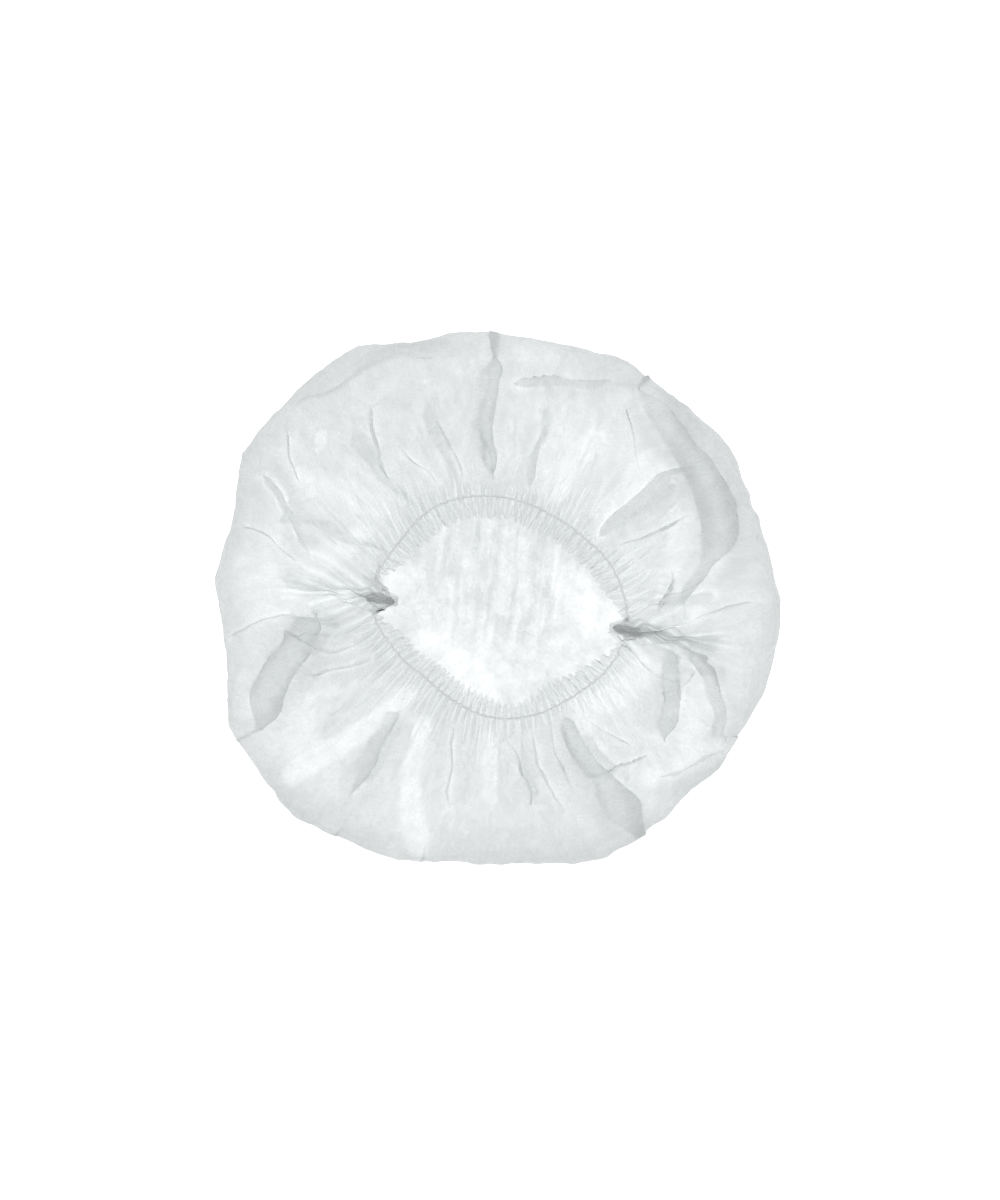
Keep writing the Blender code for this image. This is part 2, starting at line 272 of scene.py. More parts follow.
# How the seed waves drift round the cap: (harmonics, how fast they fade, size)
SEED_PHASE, SEED_REACH = (90, 0.8, 1.5), (70, 0.3, 0.16)
SEED_LEAN, SEED_SIZE = (40, 0.5, 0.5), (60, 0.2, 0.10)
THREAD_AT = 0.99  # share of the way in at which the elastic lies
THREAD_RADIUS = 0.36 * MM
THREAD_SOFTNESS = (5, 2.6)  # columns to each side that smooth its line, and their spread
THREAD_LIFT = 1.2  # radii above the gathers
FUSED_RIBS = 9
FUSED_TIP = 1.0 * MM  # how far the fused end passes its CAD solid's mouth end
FUSED_LENGTH = 15 * MM
FUSED_RADIUS = 2.3 * MM
FUSED_BEND = 0.8 * MM
# How much of its error a spring takes back in one step, where not all of it
SHEAR_GIVE = 0.35
BEND_GIVE = 0.12
WELD_SLACK = 0.25  # share of the spare cloth that a weld's columns have
RING_EASE = 1.005  # how much longer the cloth is across the rings
BEND_SLACK = 0.95
WELD_LOOSE = ((-1, 1), (0.6, 1), (0.8, 0))  # how free a weld's columns are, by share of the way in
# The broad shape that is drawn back: its softness in columns by share of the way in, and how far
COURSE_COLUMNS = ((-1, 6), (0, 8), (0.5, 24), (0.85, 12), (1, 6), (2, 5))
COURSE_PULL = 0.5
COURSE_EVERY = 4  # steps
RELAX_STEPS = 120
RELAX_FLOOR = 0.3 * MM

# The materials. Colours are linear.
FABRIC_COLOUR = (0.942, 0.96, 0.962)
PAINTED_SHADE_COLOUR = (0.71, 0.73, 0.735)  # painted shade: the darker colour the fabric goes towards in creases, fold edges, the crown's middle and at the rim
FUSED_COLOUR = (0.96, 0.97, 0.97)
FUSED_GLOW = (0.97, 0.98, 0.98)  # of the light that comes through
THREAD_COLOUR = (0.90, 0.92, 0.92)
# How far the fabric's colour goes towards the darker colour above: everywhere, as its own tone; by how thick
# and creased the cloth looks, with painted shade in creases and fold edges; in the crown's middle, as
# painted shade of the cap's hollow; and at the rim, as painted shade that darkens the cap's outline.
BASE_TINT = 0.16
DENSITY_AND_SHADE_TINT = 0.24
# painted shade in the crown's middle, and along the rim
MIDDLE_PAINTED_SHADE = 0.85
RIM_PAINTED_SHADE = 0.38
MIDDLE_REACH = (0.05, 0.085)  # metres from there, where its tint starts to fade and where it ends
RIM_REACH = (0.003, 0.032)
# How much of the light the fibres stop: from thin drifts to denser ones, and what the tint, with its painted
# shade, and the thickness, with its painted crease shade, add to it
COVER = (0.58, 0.86)
TINT_AND_SHADE_COVER = 0.12
DENSITY_AND_SHADE_COVER = 0.09
FINE_COVER = 0.06  # by how much single fibres change it
# Stronger, darker-leaning streaks near the crown's middle: painted shade of its soft creases, over fibre
# streaks everywhere.
STREAKS_AT = (0.0, 0.024, 0.0)  # middle of the crown's streaky part, on the flat sheet
STREAKS_REACH = (0.038, 0.048)
STREAKS_COVER = (0.2, 0.05)  # the streaks' share there, and elsewhere
BOND_PITCH = 2.0 * MM
BOND_RADIUS = (0.22, 0.34)  # inside and outside its soft edge, as shares of the pitch
BOND_OPENING = 0.05
FABRIC_THROUGH = 0.4  # share of the scattered light that goes through
FUSED_THROUGH = 0.5

# The view and the studio
VIEW_ROLL = 7.24  # degrees by which the weld line drops to the right in the picture
VIEW_AIM = (0.0001, 0.0075)
VIEW_HEIGHT = 0.637  # metres that the picture's height covers at the rim
CAMERA_DISTANCE = 2.6
SENSOR_HEIGHT = 36
WORLD_STRENGTH = 0.25
LAMP_SIZE, LAMP_POWER = 1.2, 12
LAMP_AT = (-0.08, 0.1, 1.5)
FLOOR_HALF = 4
FLOOR_COLOUR = (0.6, 0.6, 0.6)
FLOOR_GLOW = 0.94  # the floor glows, so that light comes up through the cloth


def node_points(*nodes):
    return np.concatenate([np.array([v.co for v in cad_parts[n].data.vertices]) for n in nodes])


def polar(points):
    """Directions in degrees and distances from the middle, seen from above."""
    x, y = points[..., 0], points[..., 1]
    return np.degrees(np.arctan2(y, x)), np.hypot(x, y)


def station_radius(points, pick):
    """Directions in degrees, and the radius that pick chooses in each, of points seen from above."""
    angle, radius = polar(points)
    station = np.round(angle / (360 / STATIONS)).astype(int) % STATIONS
    known = [s for s in range(STATIONS) if (station == s).any()]
    return np.array(known) * 360 / STATIONS, np.array([pick(radius[station == s]) for s in known])


def radius_at(outline, degrees):
    return np.interp(degrees, *outline, period=360)


def on_circle(degrees, radius):
    turn = np.radians(degrees)
    return np.stack([np.cos(turn) * radius, np.sin(turn) * radius], axis=-1)


def catmull_rom(knots, steps=24):
    p = np.array(knots, float)
    p = np.concatenate([[2 * p[0] - p[1]], p, [2 * p[-1] - p[-2]]])
    t = np.linspace(0, 1, steps, endpoint=False)[:, None]
    parts = [
        b + 0.5 * t * ((c - a) + t * (2 * a - 5 * b + 4 * c - d + t * (3 * (b - c) + d - a)))
        for a, b, c, d in zip(p, p[1:], p[2:], p[3:])
    ]
    return np.concatenate([*parts, p[-2:-1]])


def smooth_course(knots, count, width=1.0):
    """Points evenly spaced by length along a smooth curve through knots. width scales the first value."""
    fine = catmull_rom(knots)
    steps = np.linalg.norm(np.diff(fine * np.array([width, 1.0]), axis=0), axis=1)
    length = np.concatenate([[0], np.cumsum(steps)])
    at = np.linspace(0, length[-1], count)
    return np.stack([np.interp(at, length, fine[:, i]) for i in range(2)], axis=1)


def smoothstep(x):
    x = np.clip(x, 0, 1)
    return x * x * (3 - 2 * x)


def mixed(ends, share):
    return ends[0] + (ends[1] - ends[0]) * share


def between(low, high, x):
    """0 up to low, 1 from high on, and smooth between them."""
    return smoothstep((x - low) / (high - low))


def columns_plan():
    """Each column's angle at the rim and at the mouth, in degrees."""
    fan = WELD_FAN * np.arange(HALF_WELD) / HALF_WELD
    hem = (np.arange(HEM_COLUMNS) + 0.5) / HEM_COLUMNS
    rim, mouth = [], []
    for side in (0, 180):
        far = side + 180 - WELD_FAN + fan + WELD_FAN / HALF_WELD / 2
        rim += [side + fan, side + WELD_FAN + (180 - 2 * WELD_FAN) * hem, far]
        mouth += [side + 0 * fan, side + WELD_GAP + (180 - 2 * WELD_GAP) * hem, side + 180 + 0 * fan]
    return np.concatenate(rim), np.concatenate(mouth)


def weld_ropes():
    """For each column: its place across its weld's bunch and up in it, as shares of the bunch's size,
    the bunch's mouth end, and where the column joins it. A hem's columns have the first two at 0."""
    share = np.arange(HALF_WELD) / HALF_WELD
    across = np.concatenate([share, np.zeros(HEM_COLUMNS), share[::-1] + 1 / HALF_WELD])
    across = np.concatenate([across, -across])
    (l0, l1), (r0, r1) = WELDS["left"], WELDS["right"]
    is_left = np.cos(np.radians(RIM_ANGLE)) < 0
    nub, outer = np.where(is_left, l1.x, r0.x), np.where(is_left, l0.x, r1.x)
    join = outer + (nub - outer) * ROPE_JOINS * np.abs(across) ** 1.5
    return across, np.sin(across * np.pi * ROPE_PLEATS), nub, join


CROWN_POINTS = node_points("crown")
HEM_POINTS = node_points("front_hem", "back_hem")
RIM = station_radius(CROWN_POINTS[CROWN_POINTS[:, 2] > CROWN_POINTS[:, 2].max() - 1 * MM], np.max)
MOUTH = station_radius(HEM_POINTS, np.max)
RUFFLE = station_radius(HEM_POINTS, np.min)
WELDS = {side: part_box(f"{side}_end_weld") for side in ("left", "right")}
RIM_ANGLE, MOUTH_ANGLE = columns_plan()
IS_WELD = MOUTH_ANGLE % 180 == 0  # the columns that run into a weld
ACROSS, PLEAT, NUB, JOIN = weld_ropes()


def top_plan(share, rim_xy, mouth_xy):
    """The top's columns seen from above, at a share of their way from the rim to the mouth."""
    # a weld's columns run to the bunch, join it, and follow it to its mouth end
    reach = np.hypot(JOIN - rim_xy[:, 0], rim_xy[:, 1])
    bend = reach / (reach + np.abs(NUB - JOIN) + 1e-9)
    to_join = np.clip(share / bend, 0, 1)
    along = np.clip((share - bend) / (1 - bend), 0, 1)
    x = rim_xy[:, 0] + (JOIN - rim_xy[:, 0]) * to_join + (NUB - JOIN) * along
    pinch = smoothstep(to_join) ** 2
    half_width = mixed(ROPE_HALF_WIDTHS, smoothstep(along))
    turns, spread_out, lean = ROPE_MEANDERS
    meander = np.sin(2 * np.pi * (turns * along + spread_out * np.abs(ACROSS)) + lean * ACROSS)
    y = rim_xy[:, 1] * (1 - to_join) + ACROSS * half_width * pinch
    y += ROPE_MEANDER * meander * pinch * np.sin(np.pi * np.clip(along * 0.9 + 0.1, 0, 1))
    path = np.stack([x, y], 1)
    # a hem's columns near the weld line follow the weld column beside them
    straight = rim_xy + (mouth_xy - rim_xy) * share
    bowed, steps = straight.copy(), np.arange(HEM_COLUMNS)
    for start in (HALF_WELD, HALF_WELD + COLUMNS // 2):
        stop = start + HEM_COLUMNS
        for edge, first, away in ((start - 1, start, steps), (stop, stop - 1, steps[::-1])):
            follow = np.exp(-away / (HEM_COLUMNS * HEM_FOLLOWS)) * smoothstep((1 - share) / FOLLOW_ENDS)
            bowed[start:stop] += (path[edge] - straight[first]) * follow[:, None]
    return np.where(IS_WELD[:, None], path, bowed), pinch * IS_WELD, along * IS_WELD


def crown_waves(xy):
    """How far the crown's cloth lifts off the floor, in soft waves that run from front to back."""
    x, y = xy[:, 0] / MM, xy[:, 1] / MM
    lift = 0.5
    for length, height, bend, shift in CROWN_WAVES:
        lift = lift + height * np.sin(2 * np.pi * x / length + bend * np.sin(y / 31 + shift) + 2 * shift)
    ahead, reach, least = CROWN_CALM
    return np.maximum(lift, 0) * MM * (least + (1 - least) * smoothstep((y - ahead) / reach))


def puffs(share):
    """How far the top's broad puffs rise over its smooth course, at a share of the way in."""
    height, fewest, most = PUFFS
    swell = np.sin(np.pi * np.clip(share * PUFFS_SWELL, 0, 1))
    turn = np.radians(RIM_ANGLE)
    total = 0
    for count in range(fewest, most):
        phase = 2.4 * count * count + 1.3 * np.sin(count) * share * 3
        total = total + np.sin(count * turn + phase)
    return total * height * MM * swell / math.sqrt(most - fewest)


def crumpled(points):
    """The sheet with creased ripples in every direction, as cloth that has been packed flat keeps."""
    flat = points.reshape(-1, 3)
    lift = np.zeros(len(flat))
    closely, far = CRUMPLE_BEND
    for length, height in CRUMPLE:
        for _ in range(CRUMPLE_WAVES):
            way = RNG.normal(size=3)
            way *= 2 * np.pi / (length * MM * np.linalg.norm(way))
            bend = RNG.normal(size=3) * closely
            shift, swing = RNG.uniform(0, 2 * np.pi, 2)
            wave = np.abs(np.sin((flat @ way) / 2 + shift + far * np.sin(flat @ bend + swing)))
            lift += (CRUMPLE_MEAN - wave) * height * MM
    ring = np.arange(len(points)) - CROWN_RINGS
    most = np.interp(ring, *zip(*CRUMPLED_RINGS))
    lift = lift.reshape(points.shape[:2]) * most[:, None] * np.where(IS_WELD, CRUMPLED_WELDS, 1.0)
    return points + grid_normals(points) * lift[..., None]


def under_rings(rim_r):
    """The crown and the side: out along the floor and up to the rim."""
    flat_inset, flat_z = UNDER_COURSE[0]
    rings = []
    for share in np.linspace(0.01, 1, CROWN_RINGS, endpoint=False):
        xy = on_circle(RIM_ANGLE, (rim_r - flat_inset * MM) * share)
        lift = crown_waves(xy) * smoothstep((1 - share) / CROWN_EDGE)
        rings.append(np.column_stack([xy, flat_z * MM + lift]))
    for inset, z in smooth_course(UNDER_COURSE, SIDE_RINGS)[:-1]:
        rings.append(np.column_stack([on_circle(RIM_ANGLE, rim_r - inset * MM), np.full(COLUMNS, z * MM)]))
    return rings


def top_rings(top, rim_xy, mouth_xy):
    """The top, over from the rim and in to the mouth. top gives each ring's share and height."""
    dips, over_share, degrees = WELD_DIP
    from_pole = np.minimum(RIM_ANGLE % 180, 180 - RIM_ANGLE % 180)
    near_pole = np.exp(-((from_pole / degrees) ** 2))
    rings = []
    for share, z in top:
        xy, pinch, along = top_plan(share, rim_xy, mouth_xy)
        dip = (z - HEM_HEIGHT) * dips * min(share / over_share, 1) * near_pole
        pleats = PLEAT * mixed(ROPE_HALF_HEIGHTS, along) * pinch
        height = (z - dip) * MM + puffs(share) * (1 - near_pole) + pleats
        rings.append(np.column_stack([xy, height]))
    return rings


def ruffle_rings(shares, mouth_xy):
    """The ruffle, in from the elastic, with a scalloped edge."""
    ruffle_xy = on_circle(MOUTH_ANGLE, radius_at(RUFFLE, MOUTH_ANGLE))
    place = 2 * np.pi * np.arange(COLUMNS) / HEM_COLUMNS
    phase, uneven = [drifting(*values) for values in RUFFLE_DRIFTS]
    reach = np.interp(MOUTH_ANGLE, *zip(*RUFFLE_WIDTHS), period=360)
    reach = reach + SCALLOP * np.sin(GATHERS * place + phase) + uneven
    rings = []
    for share in shares:
        xy = mouth_xy + (ruffle_xy - mouth_xy) * share * reach[:, None]
        rope = np.stack([NUB - np.sign(NUB) * RUFFLE_AT_WELDS * share, ACROSS * ROPE_HALF_WIDTHS[1]], 1)
        xy = np.where(IS_WELD[:, None], rope, xy)
        height = np.full(COLUMNS, HEM_HEIGHT * MM - RUFFLE_DROP * share) + PLEAT * ROPE_HALF_HEIGHTS[1]
        rings.append(np.column_stack([xy, height]))
    return rings


def course():
    """The smooth sheet, ring by ring, and each ring's share of the way in from the rim (-1 under it)."""
    rim_r = radius_at(RIM, RIM_ANGLE)
    mouth_xy = on_circle(MOUTH_ANGLE, radius_at(MOUTH, MOUTH_ANGLE))
    top = smooth_course(OVER_COURSE, TOP_RINGS, width=TOP_WIDTH)
    ruffle = np.arange(1, RUFFLE_RINGS + 1) / RUFFLE_RINGS
    under = under_rings(rim_r)
    rings = under + top_rings(top, on_circle(RIM_ANGLE, rim_r), mouth_xy) + ruffle_rings(ruffle, mouth_xy)
    return np.array(rings), np.concatenate([np.full(len(under), -1.0), top[:, 0], 1 + ruffle])


def nearest_on(line, xy):
    """For points seen from above: signed distance to a polyline, and share of the way along it."""
    best = np.full(len(xy), np.inf)
    signed, along = np.zeros(len(xy)), np.zeros(len(xy))
    lengths = np.linalg.norm(np.diff(line, axis=0), axis=1)
    start = np.concatenate([[0], np.cumsum(lengths)])
    for i, (a, b) in enumerate(zip(line, line[1:])):
        d = (b - a) / lengths[i]
        t = np.clip((xy - a) @ d, 0, lengths[i])
        off = xy - a - t[:, None] * d
        distance = np.linalg.norm(off, axis=1)
        side = np.sign(off @ np.array([-d[1], d[0]]))
        closer = distance < best
        best = np.where(closer, distance, best)
        signed = np.where(closer, distance * side, signed)
        along = np.where(closer, (start[i] + t) / start[-1], along)
    return signed, along


def random_pleats():
    """Pleats that run out from the gathers, in the same form as the large folds."""
    made = []
    for k in range(PLEATS):
        turn = 360 * (k + RNG.uniform(0.1, 0.9)) / PLEATS
        start, end = RNG.uniform(*PLEAT_START), RNG.uniform(*PLEAT_END)
        widths = tuple(RNG.uniform(*span) for span in PLEAT_HALF_WIDTHS)
        overlap = RNG.uniform(*PLEAT_OVERLAP)
        slant, bow = [RNG.normal(0, sway) for sway in PLEAT_SWAY]
        knots = []
        for share in np.linspace(start, end, 4):
            rim, mouth = radius_at(RIM, turn), radius_at(MOUTH, turn)
            spread = (start - share) / (start - end)
            at = turn + slant * spread + bow * math.sin(math.pi * spread)
            knots.append(on_circle(at, (rim + (mouth - rim) * share) / MM))
        from_pole = min(turn % 180, 180 - turn % 180)
        knots = np.array(knots)
        crossed = any(np.hypot(*(knots - centre).T).min() < radius for centre, radius in CLEAR_PATCHES)
        for line, fold_widths, _ in FOLDS:
            near = np.abs(nearest_on(catmull_rom(line, FOLD_STEPS), knots)[0]).min()
            crossed = crossed or near < PLEATS_OFF_FOLDS * (max(fold_widths) + max(widths))
        if from_pole > PLEATS_OFF_WELDS and not crossed:
            made.append((knots, widths, overlap))
    return made


def warped(xy):
    """Points seen from above, shifted unevenly, so that what follows them is uneven too."""
    out = xy.copy()
    for length, size in FOLD_WARP:
        for axis in (0, 1):
            turn = xy[:, 1 - axis] * 2 * np.pi / (length * MM)
            bend = np.sin(xy[:, axis] * 2 * np.pi / (1.7 * length * MM) + axis)
            out[:, axis] += size * MM * np.sin(turn + 2 * bend + 3 * axis)
    return out


def crown_rays():
    """The crown folds that run straight out, in the same form as the others."""
    made = []
    for turn, half in CROWN_RAYS:
        knots = [on_circle(turn, reach) for reach in CROWN_RAY_REACH]
        made.append((knots, (half * CROWN_RAY_TAPER, half), CROWN_RAY_OVERLAP))
    return made


def along_fold(knots, widths, xy):
    """A fold's line, and for points seen from above: offset in half widths, half width and fade."""
    line = catmull_rom(np.array(knots) * MM, FOLD_STEPS)
    signed, along = nearest_on(line, xy)
    half = mixed(widths, along) * MM
    fade = smoothstep(along / FOLD_ENDS[0]) * smoothstep((1 - along) / FOLD_ENDS[1])
    return line, signed / half, half, fade


def fold_moves(flat, inside, folds):
    """For each fold in turn: how far it moves points seen from above, its rise, reach and zone."""
    uneven = warped(flat[:, :2])
    for knots, widths, overlap in folds:
        line, t, half, fade = along_fold(knots, widths, uneven)
        ends = fade * inside
        reached = np.where(np.abs(t) < 1, ends, 0)
        wave = np.sin(np.pi * t) * reached
        step = np.array([line[-1, 1] - line[0, 1], line[0, 0] - line[-1, 0]])
        across = step / np.linalg.norm(step)
        zone = smoothstep(FOLD_ZONE[0] - np.abs(t)) * smoothstep(ends * FOLD_ZONE[1])
        yield (wave * overlap * half)[:, None] * across, wave * FOLD_LIFT * half, reached * half, zone


def drape_height(xy):
    """The top's smooth height over a place seen from above."""
    degrees, radius = polar(xy)
    rim, mouth = radius_at(RIM, degrees), radius_at(MOUTH, degrees)
    share = (rim - radius) / (rim - mouth)
    return np.interp(share, *smooth_course(OVER_COURSE, 200, width=TOP_WIDTH).T) * MM


def fold_rim(points):
    """Folds that cross the rim: each turns the cloth about the middle, and keeps the outline."""
    angle, radius = polar(points)
    inward = 1 - radius / radius_at(RIM, angle)
    turned, parting, zone = angle.copy(), np.zeros(angle.shape), np.zeros(angle.shape)
    for direction, half, overlap, inner in RIM_FOLDS:
        off = (angle - direction + 180) % 360 - 180
        t = np.radians(off) * radius / (half * MM)
        reached = np.where(np.abs(t) < 1, smoothstep(1 - inward / inner), 0)
        wave = np.sin(np.pi * t) * reached
        turned -= np.degrees(overlap * half * MM * wave / np.maximum(radius, 20 * MM))
        parting += wave * half * MM * FOLD_LIFT
        zone = np.maximum(zone, reached)
    near, share = RIM_FOLD_PARTS
    at_rim = np.exp(-((inward / near) ** 2))
    radius = radius * radius_at(RIM, turned) / radius_at(RIM, angle) - parting * at_rim * share
    out = points.copy()
    out[..., :2] = on_circle(turned, radius)
    out[..., 2] -= parting * (1 - at_rim)
    out[..., 2] = np.maximum(out[..., 2], np.minimum(points[..., 2], 0.6 * MM))
    return out, smoothstep(zone * 3)


def fold_rings(out, rings, flat, inside, folds, lift):
    """Lays folds into some of the sheet's rings, and gives the zones that they take up."""
    zones = np.zeros((len(rings), COLUMNS))
    for move, rise, reached, zone in fold_moves(flat, inside, folds):
        out[rings, :, :2] += move.reshape(len(rings), COLUMNS, 2)
        out[rings, :, 2] += (reached * lift - rise).reshape(len(rings), COLUMNS)
        zones = np.maximum(zones, zone.reshape(zones.shape))
    return zones


def lay_folds(points, over):
    """Moves the sheet's points so that each fold's cloth doubles back over itself."""
    out, folded = fold_rim(points)
    top = np.nonzero((over > 0) & (over < 1))[0]
    flat = points[top].reshape(-1, 3)
    share = np.repeat(over[top], COLUMNS)
    inside = smoothstep(share / TOP_EDGES[0]) * smoothstep((1 - share) / TOP_EDGES[1])
    zones = fold_rings(out, top, flat, inside, (*FOLDS, *random_pleats()), 0)
    folded[top] = np.maximum(folded[top], zones)
    hang = drape_height(out[top, :, :2].reshape(-1, 2)) - drape_height(flat[:, :2])
    out[top, :, 2] += (hang * smoothstep(share / DRAPED_FROM)).reshape(len(top), COLUMNS)
    crown = np.arange(CROWN_RINGS)
    inside = smoothstep((1 - np.repeat(crown / CROWN_RINGS, COLUMNS)) / CROWN_FOLDS_EDGE)
    flat = points[crown].reshape(-1, 3)
    fold_rings(out, crown, flat, inside, (*CROWN_FOLDS, *crown_rays()), FOLD_LIFT)
    return out, folded


def density_and_shade(points, over, folded):
    """How thick the cloth looks at each point, with painted shade in its creases and at the edges of
    three-layered folds, which are painted lighter along their middles; within the span set for it.
    """
    uneven, total = warped(points[..., :2].reshape(-1, 2)), 0
    for knots, widths, change in DENSITIES_AND_SHADES:
        _, t, _, _ = along_fold(knots, widths, uneven)
        total = total + change * smoothstep((1 + DENSITY_AND_SHADE_SOFTNESS / 2 - np.abs(t)) / DENSITY_AND_SHADE_SOFTNESS)
    for knots, widths, overlap in FOLDS:
        _, t, _, fade = along_fold(knots, widths, uneven)
        fade = fade * between(*THREE_LAYERS, overlap)
        # painted shade along a three-layered fold's edges, and painted lighter along its middle
        for place, width, change in (FOLD_EDGE_SHADE, FOLD_MIDDLE_LIGHT):
            total = total + np.exp(-(((np.abs(t) - place) / width) ** 2)) * change * fade
    total = total.reshape(points.shape[:2]) - FOLDS_THINNER * folded
    total -= GATHERS_THINNER * between(*GATHERS_REACH, over)[:, None]
    return np.clip(total, *DENSITY_AND_SHADE_SPAN)


def drifting(harmonics, fall, size):
    """A smooth random value round the columns."""
    place = np.arange(COLUMNS) / COLUMNS
    waves = [
        RNG.normal(0, size / harmonic**fall) * np.sin(2 * np.pi * (harmonic * place + RNG.random()))
        for harmonic in range(1, harmonics)
    ]
    return sum(waves)


def seeds(over):
    """Small waves for the spare cloth to buckle into: fine at the hem, and broader towards the rim."""
    place = np.arange(COLUMNS) / HEM_COLUMNS
    total = np.zeros((len(over), COLUMNS))
    for octave, (centre, reach, height) in enumerate(SEED_WAVES):
        phase = 2 * np.pi * GATHERS / 2**octave * place + drifting(*SEED_PHASE)
        reach = reach * np.exp(drifting(*SEED_REACH))
        lean = drifting(*SEED_LEAN)
        size = height * MM * np.exp(drifting(*SEED_SIZE))
        off = (over[:, None] - centre) / reach[None]
        window = np.exp(-(off**2))
        if octave == 0:
            window = np.where(off > 0, 1, window)
        total += size * window * np.sin(phase + lean * off)
    return total * (over > 0)[:, None] * ~IS_WELD


def spring_groups(smooth, points, over, folded):
    """The cloth's springs, in groups that share no point: (first points, second points, length, give)."""
    rings = len(over)
    index = np.arange(rings * COLUMNS).reshape(rings, COLUMNS)
    flat = points.reshape(-1, 3)
    extra = np.interp(over, *zip(*SPARE_CLOTH))
    groups = []

    def add(first, second, length, give, parity):
        for p in (0, 1):
            pick = parity == p
            groups.append((first[pick], second[pick], length[pick].astype(np.float32), give))

    def distance(first, second, place=flat):
        return np.linalg.norm(place[first] - place[second], axis=-1)

    column = np.broadcast_to(np.arange(COLUMNS), index.shape)
    ring = np.broadcast_to(np.arange(rings)[:, None], index.shape)
    nxt, second = np.roll(index, -1, 1), np.roll(index, -2, 1)
    slack = np.where(IS_WELD[None], WELD_SLACK, 1.0) * (extra - 1)[:, None] * (1 - folded)
    slack = slack * distance(index, nxt, smooth.reshape(-1, 3))
    add(index, nxt, distance(index, nxt) + slack, 1.0, column % 2)
    add(index[:-1], index[1:], distance(index[:-1], index[1:]) * RING_EASE, 1.0, ring[:-1] % 2)
    # a cell's diagonals, with its slack laid out along the ring
    edge = flat[nxt] - flat[index]
    edge = (edge[:-1] + edge[1:]) / 2
    edge *= (slack[:-1] / np.maximum(np.linalg.norm(edge, axis=-1), 1e-9))[..., None]
    falling = np.linalg.norm(flat[nxt[1:]] - flat[index[:-1]] + edge, axis=-1)
    rising = np.linalg.norm(flat[index[1:]] - flat[nxt[:-1]] - edge, axis=-1)
    add(index[:-1], nxt[1:], falling, SHEAR_GIVE, ring[:-1] % 2)
    add(nxt[:-1], index[1:], rising, SHEAR_GIVE, ring[:-1] % 2)
    two = distance(index, second) + (slack + np.roll(slack, -1, 1)) * BEND_SLACK
    add(index, second, two, BEND_GIVE, (column // 2) % 2)
    add(index[:-2], index[2:], distance(index[:-2], index[2:]), BEND_GIVE, (ring[:-2] // 2) % 2)
    return groups


def keep_course(cloth, smooth, over):
    """Draws the cloth's broad shape back to its smooth course, and leaves its wrinkles alone."""
    frequency = np.fft.rfftfreq(COLUMNS)
    width = np.interp(over, *zip(*COURSE_COLUMNS))
    passed = np.exp(-((2 * np.pi * frequency[None] * width[:, None]) ** 2) / 2)
    drift = np.fft.rfft(cloth - smooth, axis=1) * passed[..., None]
    return cloth - COURSE_PULL * np.fft.irfft(drift, n=COLUMNS, axis=1)


def relax(smooth, points, over, folded):
    """Lets the sheet find its lengths: a position-based cloth solver on the grid's springs."""
    course_points = points.astype(np.float32)
    waves = seeds(over) * (1 - folded)
    cloth = (points + grid_normals(points) * waves[..., None]).astype(np.float32)
    loose = np.ones((len(over), COLUMNS), np.float32)
    loose[:CROWN_RINGS] = 0
    loose[:, IS_WELD] *= np.interp(over, *zip(*WELD_LOOSE))[:, None]
    free, loose = loose[..., None] > 0, loose.ravel()
    prepared = []
    for first, second, length, give in spring_groups(smooth, points, over, folded):
        w1, w2 = loose[first], loose[second]
        total = np.maximum(w1 + w2, 1e-6)
        prepared.append((first, second, length, (give * w1 / total)[:, None], (give * w2 / total)[:, None]))
    for step in range(RELAX_STEPS):
        flat = cloth.reshape(-1, 3)
        for first, second, length, w1, w2 in prepared:
            d = flat[second] - flat[first]
            now = np.sqrt(np.einsum("ij,ij->i", d, d)) + 1e-9
            d *= (1 - length / now)[:, None]
            flat[first] += w1 * d
            flat[second] -= w2 * d
        flat[:, 2] = np.maximum(flat[:, 2], RELAX_FLOOR)
        if step % COURSE_EVERY == COURSE_EVERY - 1:
            pulled = keep_course(cloth, course_points, over).astype(np.float32)
            cloth = np.where(free, pulled, cloth)
    return cloth.astype(float)


def add_object(name, data):
    made = bpy.data.objects.new(name, data)
    bpy.context.scene.collection.objects.link(made)
    return made


def new_mesh(name, points, faces, uv=None):
    mesh = bpy.data.meshes.new(name)
    mesh.from_pydata(points, [], faces)
    if uv is not None:
        corners = np.array([i for face in faces for i in face])
        mesh.uv_layers.new(name="flat").data.foreach_set("uv", uv[corners].ravel())
    mesh.shade_smooth()
    return add_object(name, mesh)


def sheet_mesh(name, points, uv, dense, first, last, normals):
    """A mesh of the grid's columns from first to last, with its flat pattern in metres as its UVs."""
    rings, columns = points.shape[0], last - first + 1
    index = np.arange(first, last + 1) % COLUMNS
    a = (np.arange(rings - 1)[:, None] * columns + np.arange(columns - 1)[None]).ravel()
    quads = np.stack([a, a + 1, a + columns + 1, a + columns], axis=1)
    centre = rings * columns
    fan = [(centre, k + 1, k) for k in range(columns - 1)]
    middle = points[0].mean(0)
    part = np.concatenate([points[:, index].reshape(-1, 3), [middle]])
    flat = np.concatenate([uv[:, index].reshape(-1, 2), [(0, 0)]])
    obj = new_mesh(name, part, quads.tolist() + fan, flat)
    # how thick the cloth looks at each point, with painted shade in creases and along fold edges
    weight = obj.data.attributes.new("density_and_painted_shade", "FLOAT", "POINT")
    weight.data.foreach_set("value", np.append(dense[:, index].ravel(), 0.0))
    up = np.concatenate([normals[:, index].reshape(-1, 3), [(0, 0, -1)]])
    obj.data.normals_split_custom_set_from_vertices(up)
    return obj


